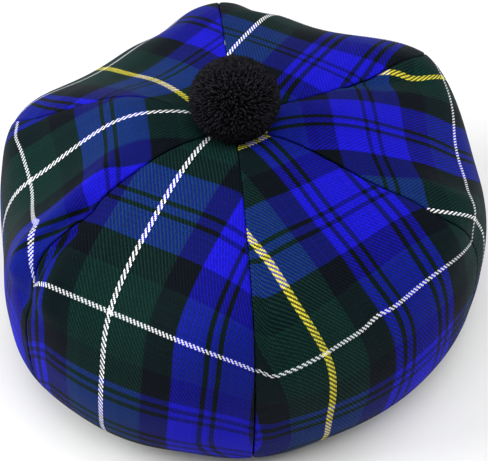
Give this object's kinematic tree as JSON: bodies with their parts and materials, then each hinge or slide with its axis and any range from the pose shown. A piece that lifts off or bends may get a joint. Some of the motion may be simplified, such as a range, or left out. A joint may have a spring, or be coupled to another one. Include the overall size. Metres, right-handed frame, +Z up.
{
  "type": "tam o shanter",
  "caption": "Full, puffed tartan wool cap of cloth gores gathered on a headband, with a round yarn pompom on the crown.",
  "frame": {"origin": "on the surface that the headband stands on, under the middle of the whole hat", "axes": "+Z up through the crown, -Y towards the front of the hat, +X to the viewer's right"},
  "size_m": [0.2754, 0.2779, 0.176],
  "materials": {
    "tartan_wool": "matte 2/2 twill, blue, green and black with white and yellow lines",
    "headband_wool": "matte plain dark wool",
    "pompom_yarn": "fuzzy cut black yarn"
  },
  "bodies": {
    "root": {"gore_front_left": "tartan_wool", "gore_front_right": "tartan_wool", "gore_right": "tartan_wool", "gore_back_right": "tartan_wool", "gore_back_left": "tartan_wool", "gore_left": "tartan_wool", "headband": "headband_wool", "pompom": "pompom_yarn"}
  },
  "joints": []
}
